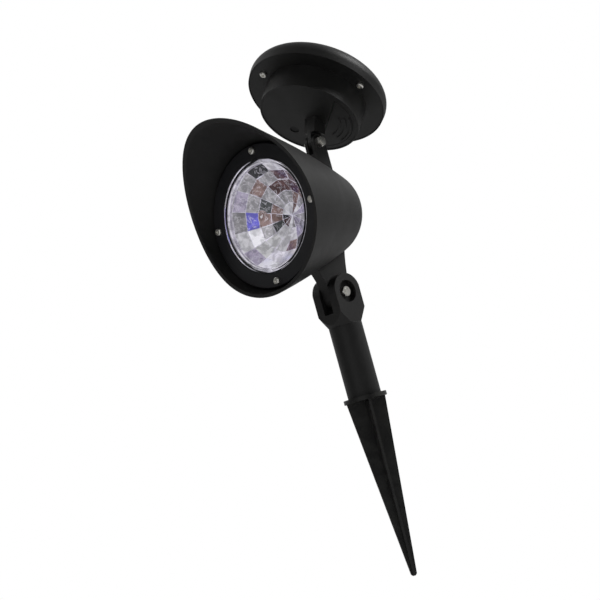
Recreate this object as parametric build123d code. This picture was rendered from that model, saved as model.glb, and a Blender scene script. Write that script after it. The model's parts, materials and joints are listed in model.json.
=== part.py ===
from build123d import *
from math import acos, asin, atan, cos, radians, sin, sqrt, tan
import os

# Garden light projector on a ground spike, with a solar disc hinged above the lamp head.
# Millimetres, +Z up along the stake.  The origin is the middle of the spike's collar rim, at
# ground level.  The lamp faces -Y and both hinge bolts lie along X.

# ---------- ground spike ----------
SPIKE_LENGTH = 131.5          # collar rim down to the tip
FIN_HALF_WIDTH = 14.3         # under the collar
FIN_TIP_HALF_WIDTH = 2.2
FIN_THICKNESS = 1.8
FIN_TURN = -36.0              # degrees, one fin's direction from +X
COLLAR_R = 15.6
COLLAR_LIP = 1.9
COLLAR_HEIGHT = 3.0
COLLAR_FLOOR = 1.5
PLUG_WALL = 2.0
PLUG_HEIGHT = 24.0

# ---------- pole ----------
TUBE_R = 12.0
TUBE_WALL = 1.6
TUBE_TOP = 52.1
CLEVIS_PLUG_LENGTH = 15.0
TUBE_FIT = 0.05               # radial, both plugs in the tube
SEAT_GAP = 0.1                # between the tube's foot and the collar floor

# ---------- lower hinge, pole to lamp head ----------
LOWER_HINGE_RISE = 22.5       # bolt above the tube's top
LOWER_HINGE_Z = TUBE_TOP + LOWER_HINGE_RISE
EAR_R = 13.0
EAR_OUTER_X = 11.3
EAR_SHOULDER_R = 17.0         # turned shoulder that trims the ears to the tube
EAR_WEB_HEIGHT = 9.4          # web between the ears, above the tube's top
NUT_RECESS_R = 8.0
NUT_RECESS_DEPTH = 4.1
NECK_THICKNESS = 8.0
NECK_R = 10.5
NECK_FRONT = ((-13.2, 12.0), (-21.0, 25.4))   # curve's middle and root, from the bolt
NECK_BACK = ((13.6, 21.0), (19.0, 37.4))
NECK_GAP = 0.3                # each side, between the neck and an ear

# ---------- fasteners ----------
BOLT_R = 2.0                  # M4 hinge bolts
BOLT_FIT = 0.05
BOLT_HEAD_R = 3.9
BOLT_HEAD_H = 2.7
BOLT_TAIL = 0.4               # thread past the nut
NUT_ACROSS_FLATS = 7.0
NUT_H = 3.2
NUT_CROWN = 0.8
SCREW_R = 1.4                 # self-tapping case screws
SCREW_HEAD_R = 2.6
SCREW_HEAD_H = 1.8
SCREW_SLOT = 0.8

# ---------- lamp head ----------
HEAD_Y = -50.1                # centre of the bezel's face
HEAD_RISE = 64.4              # above the lower hinge
HEAD_Z = LOWER_HINGE_Z + HEAD_RISE
HEAD_PITCH = 6.4              # degrees, lamp aimed up
HEAD_R = 55.4                 # outside, at the bezel's face
HEAD_WALL = 2.4
FLANK_DEPTH = 66.0            # tapered flank, then a round back
FLANK_END_R = 29.5
FLANK_BULGE = 1.0
HOOD_FLARE = 0.325            # radius gained per mm forward
HOOD_LIP = 6.2                # rim in front of the bezel, round the lower half
HOOD_TOP = 40.9               # rim in front of the bezel, at the very top
HOOD_RISE_START = -36.0       # height on the rim where it starts to sweep forward
BEZEL_GAP = 0.54              # bezel's edge to the shell's wall
BEZEL_WIDTH = 10.8
BEZEL_THICKNESS = 3.0
FLANK_TAPER = (HEAD_R - FLANK_END_R) / FLANK_DEPTH
WALL_STEP = HEAD_WALL * sqrt(1 + FLANK_TAPER ** 2)
BEZEL_R = HEAD_R - WALL_STEP - FLANK_TAPER * BEZEL_THICKNESS - BEZEL_GAP
WINDOW_R = BEZEL_R - BEZEL_WIDTH
BEZEL_CHAMFER = 0.6
SCREW_INSET = 4.1             # bezel's edge to its screws
BEZEL_SCREW_CIRCLE = BEZEL_R - SCREW_INSET
BEZEL_SCREW_LENGTH = 15.0
SKIRT_GAP = 0.37              # bezel's skirt to the shell's wall
SKIRT_WALL = 4.9
COVER_THICKNESS = 2.0
COVER_FIT = 0.3
COVER_PROUD = 0.4
COVER_CROWN = 3.0
COVER_FLANGE = 4.3
COVER_FLANGE_R = WINDOW_R + COVER_FLANGE
GASKET_THICKNESS = 1.0
GASKET_WIDTH = 2.6
LEDGE_THICKNESS = 2.0
LEDGE_INNER_R = WINDOW_R + 1.3
BOSS_R = 4.0

# ---------- kaleidoscope lens and its drive ----------
LENS_RIM_R = WINDOW_R + 0.1
LENS_RIM_DEPTH = 6.6          # rim, behind the bezel's face
LENS_POLE_DEPTH = 29.4
LENS_WALL = 1.6
LENS_RINGS = 6
LENS_HUB_R = 4.5
LENS_HUB_LENGTH = 6.0
SHAFT_R = 1.5
SHAFT_FIT = 0.05
CHASSIS_DEPTH = 39.5          # front of the chassis plate
CHASSIS_THICKNESS = 2.0
CHASSIS_GAP = 1.0
CHASSIS_SCREW_CIRCLE = 30.0
CHASSIS_SCREW_LENGTH = 9.0
POST_R = 3.4
BOARD_R = 24.0
BOARD_HOLE_R = 7.0
BOARD_THICKNESS = 1.6
LED_COUNT = 3
LED_CIRCLE = 14.0
LED_R = 2.5
LED_HEIGHT = 5.2
GEARBOX_SIZE = (12.0, 10.0, 9.0)
MOTOR_CAN_SIZE = (12.0, 10.0, 15.0)

# ---------- upper hinge, lamp head to solar disc ----------
UPPER_HINGE_Y = 20.25
UPPER_HINGE_RISE = 44.6       # above the head's centre
UPPER_HINGE_Z = HEAD_Z + UPPER_HINGE_RISE
FORK_WIDTH = 9.0              # head's upper neck, slotted for the disc's tongue
FORK_R = 6.0
FORK_SLOT_DEPTH = 7.6         # below the bolt
FORK_FRONT = ((-7.8, -14.0), (-14.0, -30.0))  # curve's middle and root, from the bolt
FORK_BACK_DROP = 34.0
TONGUE_THICKNESS = 3.2
TONGUE_R = 5.6
TONGUE_GAP = 0.3
STEM_WIDTH = 10.0
STEM_DEPTH = 10.6
STEM_START = 7.0              # full-width stem begins this far from the bolt
STEM_LEAN = 21.4              # degrees, forward of the disc's axis

# ---------- solar disc ----------
DISC_TILT = 43.0              # degrees, leaning back from level
DISC_HEIGHT = 33.4            # bolt up to the seam, along the disc's axis
DISC_FORWARD = 11.8           # disc's axis in front of the bolt
PLATE_R = 49.6
PLATE_THICKNESS = 2.0
DRUM_R = 36.6
DRUM_DEPTH = 18.2
DRUM_WALL = 2.0
DRUM_EDGE = 0.5               # fine raised edge round the drum's face
RIM_STEP = 1.2                # top cover's rim past the plate
RIM_R = PLATE_R + RIM_STEP
RIM_WALL = 2.0
RIM_FIT = 0.3
RIM_OVERHANG = 0.4
RIM_SIDE = 4.0
TOP_HEIGHT = 15.0
RIM_DRAFT = 0.5
DOME_BULGE = (1.9, 6.6)       # in from the rim and up from its side
SHOULDER_INSET = 7.6
TOP_SHOULDER_R = PLATE_R - SHOULDER_INSET
PANE_BORDER = 6.0
PANE_R = TOP_SHOULDER_R - PANE_BORDER
PANE_THICKNESS = 2.0
PANE_FIT = 0.2
PANE_LEDGE = 2.2
LEDGE_WALL = 1.0
CELL_MARGIN = 1.8
CELL_SIZE = (PANE_R - PANE_LEDGE) * sqrt(2) - CELL_MARGIN
CELL_THICKNESS = 1.2
SEAL_INSET = 4.2
SEAL_INNER_R = PLATE_R - SEAL_INSET
SEAL_WIDTH = 2.2
SEAL_THICKNESS = 1.0
DISC_SCREW_ANGLES = (5.0, -115.0, -235.0)
DISC_SCREW_LENGTH = 8.0
DISC_BOSS_R = 3.4
BOSS_GAP = 0.3                # screw bosses to the seal rib
DISC_SCREW_CIRCLE = SEAL_INNER_R - DISC_BOSS_R - BOSS_GAP

# ---------- switch ----------
SWITCH_X, SWITCH_V = -20.6, 5.4
BUTTON_R = 3.2
BUTTON_FIT = 0.1
BUTTON_RECESS = 0.6
BUTTON_TRAVEL = 1.2
BUTTON_FLANGE_R = 4.1
BUTTON_FLANGE_H = 0.8
PLUNGER_R = 1.5
SWITCH_SIZE = 9.0
SWITCH_HEIGHT = 7.0
SWITCH_STANDOFF = 2.6
COLLAR_GAP = 0.3              # switch seat to the button's flange
PLUNGER_ENTRY = 2.0           # plunger's reach into the switch

# ---------- battery bay ----------
DOOR_ANGLE = 55.0             # degrees, from +X toward the back of the disc
DOOR_CHORD = 13.6             # straight edge, from the disc's axis
DOOR_MARGIN = 4.7             # door's round edge to the drum's side
DOOR_R = DRUM_R - DOOR_MARGIN
DOOR_FIT = 0.3
DOOR_THICKNESS = 1.6
GRIP_RADII = (22.6, 26.6, 30.6)
GRIP_SPAN = 56.0
GRIP_WIDTH = 1.1
GRIP_HEIGHT = 0.7
BATTERY_R = 5.25              # one AAA rechargeable cell
BATTERY_LENGTH = 44.5
BATTERY_OFFSET = 17.6         # cell's line, from the disc's axis
TRAY_WALL = 1.2
TRAY_GAP = 0.3
CONTACT_THICKNESS = 0.5
SPRING_LENGTH = 2.0
SPRING_TURNS = 2
SPRING_R = 4.0
SPRING_WIRE = 1.2
SPRING_TAPER = 0.7            # radius lost each turn
TERMINAL_R = 1.9
TERMINAL_H = 1.0
CHARGE_BOARD = (26.0, 16.0, 1.6)
CHARGE_BOARD_PLACE = (-6.0, -16.0)
CHARGE_POST_R = 2.2
CHARGE_POST_HEIGHT = 7.0
CHARGE_CHIP = (5.0, 4.0, 1.4)
CHARGE_CHIP_PLACE = (4.0, 2.0)
CHARGE_SOCKET = (3.0, 6.0, 2.0)
CHARGE_SOCKET_PLACE = (-6.0, -3.0)

# ---------- frames and helpers ----------
BASE = (Align.CENTER, Align.CENTER, Align.MIN)
FAR = 90.0                    # longer than any piece it cuts
pitch, tilt = radians(HEAD_PITCH), radians(DISC_TILT)
HEAD = Plane((0, HEAD_Y, HEAD_Z), x_dir=(1, 0, 0), z_dir=(0, -cos(pitch), sin(pitch)))
HINGE = Plane((0, UPPER_HINGE_Y, UPPER_HINGE_Z), x_dir=(1, 0, 0), z_dir=(0, sin(tilt), cos(tilt)))
DISC_CENTRE = HINGE.from_local_coords((0, -DISC_FORWARD, DISC_HEIGHT))
DISC = Plane(DISC_CENTRE, x_dir=(1, 0, 0), z_dir=HINGE.z_dir)
ALONG_X = Rot(0, 90, 0)


def disk(radius, low, high):
    return Pos(0, 0, low) * Cylinder(radius, high - low, align=BASE)


def ring(outer, inner, low, high):
    return disk(outer, low, high) - disk(inner, low - 1, high + 1)


def block(width, depth, low, high):
    return Pos(0, 0, low) * Box(width, depth, high - low, align=BASE)


def turned(points):
    return revolve(Plane.XZ * make_face(Polyline(*points, close=True)), Axis.Z)


def polar(radius, angle):
    return Pos(radius * cos(radians(angle)), radius * sin(radians(angle)), 0)


def group(shapes):
    return Compound(children=list(shapes))


def side_plate(edges, half_thickness):
    """A plate in the YZ plane, extruded both ways along X."""
    return extrude(Plane.YZ * make_face(edges), half_thickness, both=True)


def cross_hole(y, z, radius):
    return Pos(-FAR / 2, y, z) * ALONG_X * Cylinder(radius, FAR, align=BASE)


def case_screw(length):
    """Pan-head screw along +Z, head below the seat at Z = 0."""
    head = disk(SCREW_HEAD_R, -SCREW_HEAD_H, 0)
    head = chamfer(head.edges().group_by(Axis.Z)[0], SCREW_HEAD_H / 3)
    for turn in (0, 90):
        head -= Rot(0, 0, turn) * block(2 * SCREW_R, SCREW_SLOT, -SCREW_HEAD_H - 1, -SCREW_HEAD_H / 2)
    return head + disk(SCREW_R, 0, length)


def hinge_bolt(reach):
    """Bolt along +Z through a hinge that is 2 x reach wide, with its head below."""
    head = disk(BOLT_HEAD_R, -reach - BOLT_HEAD_H, -reach)
    head = fillet(head.edges().group_by(Axis.Z)[0], BOLT_HEAD_H / 3)
    return head + disk(BOLT_R, -reach, reach + NUT_H + BOLT_TAIL)


def hex_nut(low):
    corner_r = NUT_ACROSS_FLATS / 2 / cos(radians(30))
    body = Pos(0, 0, low) * extrude(RegularPolygon(corner_r, 6, rotation=30), NUT_H)
    crown = turned([(0, low), (corner_r, low), (corner_r, low + NUT_H - NUT_CROWN),
                    (NUT_ACROSS_FLATS / 2, low + NUT_H), (0, low + NUT_H)])
    return (body & crown) - disk(BOLT_R, low - 1, low + NUT_H + 1)


# ---------- stake ----------
def fin():
    root = -COLLAR_HEIGHT + COLLAR_FLOOR / 2
    shoulder = -SPIKE_LENGTH + FIN_TIP_HALF_WIDTH
    left, right = (-FIN_TIP_HALF_WIDTH, shoulder), (FIN_TIP_HALF_WIDTH, shoulder)
    outline = Curve() + [
        Polyline(left, (-FIN_HALF_WIDTH, root), (FIN_HALF_WIDTH, root), right),
        ThreePointArc(left, (0, -SPIKE_LENGTH), right),
    ]
    return extrude(Plane.XZ * make_face(outline), FIN_THICKNESS / 2, both=True)


def ground_spike():
    bore_r = TUBE_R - TUBE_WALL
    plug_r = bore_r - TUBE_FIT
    floor_top = -COLLAR_HEIGHT + COLLAR_FLOOR
    spike = disk(COLLAR_R, -COLLAR_HEIGHT, floor_top)
    for turn in (0, 90):
        spike += Rot(0, 0, FIN_TURN + turn) * fin()
    spike += ring(COLLAR_R, COLLAR_R - COLLAR_LIP, floor_top, 0)
    return spike + ring(plug_r, plug_r - PLUG_WALL, floor_top, floor_top + PLUG_HEIGHT)


# ---------- pole ----------
def pole_tube():
    foot = -COLLAR_HEIGHT + COLLAR_FLOOR + SEAT_GAP
    return ring(TUBE_R, TUBE_R - TUBE_WALL, foot, TUBE_TOP)


def pole_clevis():
    ears = side_plate(Curve() + [
        Line((-EAR_R, LOWER_HINGE_Z), (-EAR_R, TUBE_TOP)),
        Line((-EAR_R, TUBE_TOP), (EAR_R, TUBE_TOP)),
        Line((EAR_R, TUBE_TOP), (EAR_R, LOWER_HINGE_Z)),
        ThreePointArc((EAR_R, LOWER_HINGE_Z), (0, LOWER_HINGE_Z + EAR_R), (-EAR_R, LOWER_HINGE_Z)),
    ], EAR_OUTER_X)
    shoulder = turned([(0, TUBE_TOP), (TUBE_R, TUBE_TOP), (EAR_SHOULDER_R, TUBE_TOP + EAR_WEB_HEIGHT),
                       (EAR_SHOULDER_R, LOWER_HINGE_Z + EAR_R + 1), (0, LOWER_HINGE_Z + EAR_R + 1)])
    slot = block(NECK_THICKNESS + 2 * NECK_GAP, FAR, TUBE_TOP + EAR_WEB_HEIGHT, LOWER_HINGE_Z + FAR)
    clevis = (ears & shoulder) - slot - cross_hole(0, LOWER_HINGE_Z, BOLT_R + BOLT_FIT)
    recess = disk(NUT_RECESS_R, EAR_OUTER_X - NUT_RECESS_DEPTH, EAR_OUTER_X + 1)
    for turn in (0, 180):
        clevis -= Pos(0, 0, LOWER_HINGE_Z) * Rot(0, 0, turn) * ALONG_X * recess
    plug_r = TUBE_R - TUBE_WALL - TUBE_FIT
    return clevis + ring(plug_r, plug_r - PLUG_WALL, TUBE_TOP - CLEVIS_PLUG_LENGTH, TUBE_TOP)


def lower_hinge(shape):
    return Pos(0, 0, LOWER_HINGE_Z) * ALONG_X * shape


def lower_reach():
    return EAR_OUTER_X - NUT_RECESS_DEPTH


# ---------- lamp head, in the head's own frame: +Z forward, +Y up ----------
def bullet(inset):
    """Tapered flank with a round back, and the flared hood cone in front, moved in by inset."""
    start, end = Vector(HEAD_R, 0), Vector(FLANK_END_R, -FLANK_DEPTH)
    outward = Vector(FLANK_DEPTH, -(HEAD_R - FLANK_END_R)).normalized()
    middle = (start + end) / 2 + outward * FLANK_BULGE
    centre = ThreePointArc(start, middle, end).arc_center
    inner = [point + (centre - point).normalized() * inset for point in (start, middle, end)]
    flank = ThreePointArc(*inner)
    lean = asin(abs((flank % 1).X))
    back_r = inner[2].X / cos(lean)
    back_w = inner[2].Y + back_r * sin(lean)
    half = (radians(90) - lean) / 2
    round_back = ThreePointArc(inner[2], (back_r * sin(half), back_w - back_r * cos(half)),
                               (0, back_w - back_r))
    front_w = HOOD_TOP + 6
    cone_inset = inset / cos(atan(HOOD_FLARE))
    hood_base = (HEAD_R - cone_inset, 0)
    hood_end = (HEAD_R + HOOD_FLARE * front_w - cone_inset, front_w)
    rest = Polyline((0, back_w - back_r), (0, front_w), hood_end, hood_base)
    edges = [flank, round_back, rest]
    if inset:
        edges.append(Line(hood_base, inner[0]))
    return revolve(Plane.XZ * make_face(Curve() + edges), Axis.Z)


def hood_trim():
    """Everything behind the hood's rim: level round the lower half, swept forward to the top."""
    top_r = HEAD_R + HOOD_FLARE * HOOD_TOP
    sweep = TangentArc((HOOD_RISE_START, HOOD_LIP), (top_r, HOOD_TOP), tangent=(1, 0))
    beyond = sweep @ 1 + (sweep % 1) * 15
    edges = [Polyline(beyond, (beyond.X, -FAR - 20), (-FAR, -FAR - 20), (-FAR, HOOD_LIP),
                      (HOOD_RISE_START, HOOD_LIP)), sweep, Line(sweep @ 1, beyond)]
    return side_plate(Curve() + edges, FAR)


def gasket_front():
    return -BEZEL_THICKNESS - COVER_THICKNESS


def ledge_front():
    return gasket_front() - GASKET_THICKNESS


def bezel_places():
    return [polar(BEZEL_SCREW_CIRCLE, turn) for turn in (0, 90, 180, 270)]


def chassis_places():
    return [polar(CHASSIS_SCREW_CIRCLE, turn) for turn in (90, 210, 330)]


def neck_lower():
    places = [(y, LOWER_HINGE_Z + rise) for y, rise in NECK_FRONT + NECK_BACK]
    front_middle, front_root, back_middle, back_root = places
    flare = [
        ThreePointArc((-NECK_R, LOWER_HINGE_Z), front_middle, front_root),
        Line(front_root, back_root),
        ThreePointArc(back_root, back_middle, (NECK_R, LOWER_HINGE_Z)),
        ThreePointArc((NECK_R, LOWER_HINGE_Z), (0, LOWER_HINGE_Z - NECK_R), (-NECK_R, LOWER_HINGE_Z)),
    ]
    return side_plate(Curve() + flare, NECK_THICKNESS / 2)


def neck_upper():
    """Upper neck with two ears and a slot between them for the disc's tongue."""
    y, z = UPPER_HINGE_Y, UPPER_HINGE_Z
    front_middle, front_root = [(y + step, z + rise) for step, rise in FORK_FRONT]
    back_root = (y + FORK_R, z - FORK_BACK_DROP)
    neck = side_plate(Curve() + [
        ThreePointArc((y - FORK_R, z), front_middle, front_root),
        Line(front_root, back_root),
        Line(back_root, (y + FORK_R, z)),
        ThreePointArc((y + FORK_R, z), (y, z + FORK_R), (y - FORK_R, z)),
    ], FORK_WIDTH / 2)
    slot = block(TONGUE_THICKNESS + 2 * TONGUE_GAP, FAR, z - FORK_SLOT_DEPTH, z + FAR)
    return neck - slot


def head_shell():
    outside, inside = bullet(0), bullet(HEAD_WALL)
    seats = ring(HEAD_R, LEDGE_INNER_R, ledge_front() - LEDGE_THICKNESS, ledge_front())
    for place in bezel_places():
        seats += place * disk(BOSS_R, -BEZEL_THICKNESS - BEZEL_SCREW_LENGTH, ledge_front())
    chassis_back = -CHASSIS_DEPTH - CHASSIS_THICKNESS
    for place in chassis_places():
        seats += place * disk(POST_R, -FLANK_DEPTH, chassis_back)
    shell = (outside & hood_trim()) - inside + (seats & outside)
    for place in bezel_places():
        shell -= place * disk(SCREW_R, -BEZEL_SCREW_LENGTH, 0)
    for place in chassis_places():
        shell -= place * disk(SCREW_R, -CHASSIS_DEPTH - CHASSIS_SCREW_LENGTH, 0)
    necks = (neck_lower() + neck_upper()) - HEAD * inside
    shell = HEAD * shell + necks
    shell -= cross_hole(0, LOWER_HINGE_Z, BOLT_R + BOLT_FIT)
    return shell - cross_hole(UPPER_HINGE_Y, UPPER_HINGE_Z, BOLT_R + BOLT_FIT)


def bezel_ring():
    bezel = ring(BEZEL_R, WINDOW_R, -BEZEL_THICKNESS, 0)
    bezel = chamfer(bezel.edges().group_by(Axis.Z)[-1], BEZEL_CHAMFER)
    skirt_r = HEAD_R - WALL_STEP + FLANK_TAPER * ledge_front() - SKIRT_GAP
    bezel += ring(skirt_r, skirt_r - SKIRT_WALL, ledge_front(), -BEZEL_THICKNESS)
    for place in bezel_places():
        bezel -= place * disk(SCREW_R, -FAR, 1)
    return HEAD * bezel


def bezel_screws():
    screw = Rot(180, 0, 0) * case_screw(BEZEL_SCREW_LENGTH)
    return group(HEAD * place * screw for place in bezel_places())


def clear_cover():
    wall_r = WINDOW_R - COVER_FIT
    inner_r = wall_r - COVER_THICKNESS
    back = gasket_front()
    crown = COVER_PROUD + COVER_CROWN
    outer_arc = RadiusArc((wall_r, COVER_PROUD), (0, crown), -dome_radius(wall_r, COVER_CROWN))
    inner_start = (inner_r, COVER_PROUD - COVER_THICKNESS)
    inner_top = (0, crown - COVER_THICKNESS)
    inner_arc = RadiusArc(inner_start, inner_top, -dome_radius(inner_r, COVER_CROWN))
    edges = [outer_arc, Line((0, crown), inner_top), inner_arc,
             Polyline(inner_start, (inner_r, back), (COVER_FLANGE_R, back),
                      (COVER_FLANGE_R, -BEZEL_THICKNESS), (wall_r, -BEZEL_THICKNESS),
                      (wall_r, COVER_PROUD))]
    return HEAD * revolve(Plane.XZ * make_face(Curve() + edges), Axis.Z)


def dome_radius(rim_r, height):
    return (rim_r ** 2 + height ** 2) / (2 * height)


def cover_gasket():
    return HEAD * ring(COVER_FLANGE_R, COVER_FLANGE_R - GASKET_WIDTH, ledge_front(), gasket_front())


def lens_arc(outset):
    """Points of the bowl's section from the rim to the pole, one per facet ring."""
    depth = LENS_POLE_DEPTH - LENS_RIM_DEPTH
    radius = dome_radius(LENS_RIM_R - LENS_WALL, depth)
    centre_w = -LENS_POLE_DEPTH + radius
    spread = asin((LENS_RIM_R - LENS_WALL) / radius)
    steps = [spread * (1 - i / LENS_RINGS) for i in range(LENS_RINGS + 1)]
    return [((radius + outset) * sin(a), centre_w - (radius + outset) * cos(a)) for a in steps]


def lens_hub_back():
    return -LENS_POLE_DEPTH - LENS_WALL - LENS_HUB_LENGTH


def kaleidoscope_lens():
    bowl = turned(lens_arc(0) + lens_arc(LENS_WALL)[::-1])
    bowl += disk(LENS_HUB_R, lens_hub_back(), -LENS_POLE_DEPTH - LENS_WALL / 2)
    return HEAD * (bowl - disk(SHAFT_R, lens_hub_back() - 1, -LENS_POLE_DEPTH - LENS_WALL))


def motor_shaft():
    gearbox_front = -CHASSIS_DEPTH - CHASSIS_THICKNESS
    return HEAD * disk(SHAFT_R, gearbox_front - 4, -LENS_POLE_DEPTH - LENS_WALL)


def chassis_radius():
    """Plate radius that clears the tapered wall behind it."""
    return HEAD_R - WALL_STEP - FLANK_TAPER * (CHASSIS_DEPTH + CHASSIS_THICKNESS) - CHASSIS_GAP


def lamp_chassis():
    back = -CHASSIS_DEPTH - CHASSIS_THICKNESS
    plate = ring(chassis_radius(), LENS_HUB_R, back, -CHASSIS_DEPTH)
    for place in chassis_places():
        plate -= place * disk(SCREW_R, back - 1, 0)
    return HEAD * plate


def chassis_screws():
    screw = Pos(0, 0, -CHASSIS_DEPTH) * Rot(180, 0, 0) * case_screw(CHASSIS_SCREW_LENGTH)
    return group(HEAD * place * screw for place in chassis_places())


def led_board():
    return HEAD * ring(BOARD_R, BOARD_HOLE_R, -CHASSIS_DEPTH, -CHASSIS_DEPTH + BOARD_THICKNESS)


def led_emitters():
    low = -CHASSIS_DEPTH + BOARD_THICKNESS
    body = disk(LED_R, low, low + LED_HEIGHT)
    body = fillet(body.edges().group_by(Axis.Z)[-1], LED_R * 0.9)
    body += disk(LED_R + 0.4, low, low + 0.9)
    return group(HEAD * polar(LED_CIRCLE, 30 + i * 360 / LED_COUNT) * body for i in range(LED_COUNT))


def motor_gearbox():
    width, depth, length = GEARBOX_SIZE
    front = -CHASSIS_DEPTH - CHASSIS_THICKNESS
    return HEAD * (block(width, depth, front - length, front) - disk(SHAFT_R + SHAFT_FIT, front - 5, 0))


def motor_can():
    width, depth, length = MOTOR_CAN_SIZE
    front = -CHASSIS_DEPTH - CHASSIS_THICKNESS - GEARBOX_SIZE[2]
    can = block(width, FAR, front - length, front) & disk(width / 2, front - length, front)
    return HEAD * (can & block(FAR, depth, front - length, front))


# ---------- solar disc, in its own frame: +Z out of the cell, +Y toward the low back edge ----------
def drum_face():
    return -DRUM_DEPTH


def drum_floor():
    return -DRUM_DEPTH + DRUM_WALL


def door_outline(grow):
    """Segment of the drum's face beyond a straight edge, wider all round by grow."""
    chord = DOOR_CHORD - grow
    radius = DOOR_R + grow
    half = acos(chord / radius)
    ends = [(chord, radius * sin(side * half)) for side in (-1, 1)]
    return make_face(Curve() + [ThreePointArc(ends[0], (radius, 0), ends[1]), Line(*ends)])


def bay(shape):
    """Turn a shape from the battery bay's own direction to its place in the disc."""
    return DISC * Rot(0, 0, DOOR_ANGLE) * shape


def disc_places():
    return [polar(DISC_SCREW_CIRCLE, angle) for angle in DISC_SCREW_ANGLES]


def switch_place():
    return Pos(SWITCH_X, SWITCH_V, 0)


def charge_place():
    return Pos(*CHARGE_BOARD_PLACE, drum_floor() + CHARGE_POST_HEIGHT)


def stem_and_tongue():
    """Leaning stem from the drum's face to the hinge, in the hinge's frame."""
    seat = DISC_HEIGHT - DRUM_DEPTH + DRUM_WALL / 2
    stem = block(STEM_WIDTH, STEM_DEPTH, STEM_START, FAR)
    stem += block(TONGUE_THICKNESS, 2 * TONGUE_R, 0, STEM_START)
    leaning = Rot(STEM_LEAN, 0, 0) * stem & block(FAR, FAR, -FAR, seat)
    tongue = ALONG_X * disk(TONGUE_R, -TONGUE_THICKNESS / 2, TONGUE_THICKNESS / 2)
    return leaning + tongue - ALONG_X * disk(BOLT_R + BOLT_FIT, -FAR, FAR)


def panel_base():
    base = ring(PLATE_R, DRUM_R - DRUM_WALL, 0, PLATE_THICKNESS)
    base += ring(DRUM_R, DRUM_R - DRUM_WALL, drum_face() - DRUM_EDGE, PLATE_THICKNESS)
    base += disk(DRUM_R - DRUM_WALL / 2, drum_face(), drum_floor())
    base -= disk(DRUM_R - DRUM_EDGE * 2, drum_face() - 1, drum_face())
    collar = block(SWITCH_SIZE, SWITCH_SIZE, drum_floor() - 0.5, drum_floor() + SWITCH_STANDOFF)
    collar -= disk(BUTTON_FLANGE_R + COLLAR_GAP, -FAR, 0)
    base += switch_place() * collar
    base -= switch_place() * disk(BUTTON_R + BUTTON_FIT, -FAR, 0)
    width, depth, thickness = CHARGE_BOARD
    for side in (-1, 1):
        post = disk(CHARGE_POST_R, -CHARGE_POST_HEIGHT - 0.5, 0)
        base += charge_place() * Pos(side * (width / 2 - CHARGE_POST_R), 0, 0) * post
    for place in disc_places():
        base -= place * disk(SCREW_R, -FAR, FAR)
    base -= Rot(0, 0, DOOR_ANGLE) * Pos(0, 0, -FAR) * extrude(door_outline(DOOR_FIT), FAR + drum_floor() + 1)
    return DISC * base + HINGE * stem_and_tongue()


def panel_top_cover():
    under = TOP_HEIGHT - PANE_THICKNESS
    low = -RIM_OVERHANG
    skirt_r = PLATE_R + RIM_FIT
    inner_top = TOP_HEIGHT - RIM_WALL
    step_in, step_up = DOME_BULGE
    outer = ThreePointArc((RIM_R, RIM_SIDE), (RIM_R - step_in, RIM_SIDE + step_up),
                          (TOP_SHOULDER_R, TOP_HEIGHT))
    inner = ThreePointArc((skirt_r, RIM_SIDE), (skirt_r - step_in, RIM_SIDE + step_up - RIM_STEP),
                          (TOP_SHOULDER_R, inner_top))
    edges = [Polyline((skirt_r, RIM_SIDE), (skirt_r, low), (RIM_R - RIM_DRAFT, low),
                      (RIM_R, RIM_SIDE)), outer,
             Polyline((TOP_SHOULDER_R, TOP_HEIGHT), (PANE_R + PANE_FIT, TOP_HEIGHT),
                      (PANE_R + PANE_FIT, under), (PANE_R - PANE_LEDGE, under),
                      (PANE_R - PANE_LEDGE, under - LEDGE_WALL),
                      (PANE_R + PANE_FIT + LEDGE_WALL, under - LEDGE_WALL),
                      (PANE_R + PANE_FIT + 2 * LEDGE_WALL, inner_top), (TOP_SHOULDER_R, inner_top)), inner]
    cover = revolve(Plane.XZ * make_face(Curve() + edges), Axis.Z)
    rib_low = PLATE_THICKNESS + SEAL_THICKNESS
    cover += ring(SEAL_INNER_R + SEAL_WIDTH, SEAL_INNER_R, rib_low, inner_top - RIM_WALL)
    for place in disc_places():
        cover += place * disk(DISC_BOSS_R, PLATE_THICKNESS, inner_top + RIM_WALL / 4)
        cover -= place * disk(SCREW_R, 0, DISC_SCREW_LENGTH)
    return DISC * cover


def solar_pane():
    return DISC * disk(PANE_R, TOP_HEIGHT - PANE_THICKNESS, TOP_HEIGHT)


def solar_cell():
    under = TOP_HEIGHT - PANE_THICKNESS
    return DISC * block(CELL_SIZE, CELL_SIZE, under - CELL_THICKNESS, under)


def panel_seal():
    top = PLATE_THICKNESS + SEAL_THICKNESS
    return DISC * ring(SEAL_INNER_R + SEAL_WIDTH, SEAL_INNER_R, PLATE_THICKNESS, top)


def panel_screws():
    return group(DISC * place * case_screw(DISC_SCREW_LENGTH) for place in disc_places())


def upper_hinge(shape):
    return HINGE * ALONG_X * shape


def switch_button():
    face = drum_face() + BUTTON_RECESS
    flange = drum_floor() + SEAT_GAP
    button = disk(BUTTON_R, face, flange + BUTTON_FLANGE_H)
    button += disk(BUTTON_FLANGE_R, flange, flange + BUTTON_FLANGE_H)
    button += disk(PLUNGER_R, flange, drum_floor() + SWITCH_STANDOFF + PLUNGER_ENTRY)
    return DISC * switch_place() * button


def switch_body():
    low = drum_floor() + SWITCH_STANDOFF
    body = block(SWITCH_SIZE, SWITCH_SIZE, low, low + SWITCH_HEIGHT)
    well = disk(PLUNGER_R + BUTTON_FIT, low - 1, low + PLUNGER_ENTRY + BUTTON_TRAVEL + COLLAR_GAP)
    return DISC * switch_place() * (body - well)


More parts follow.
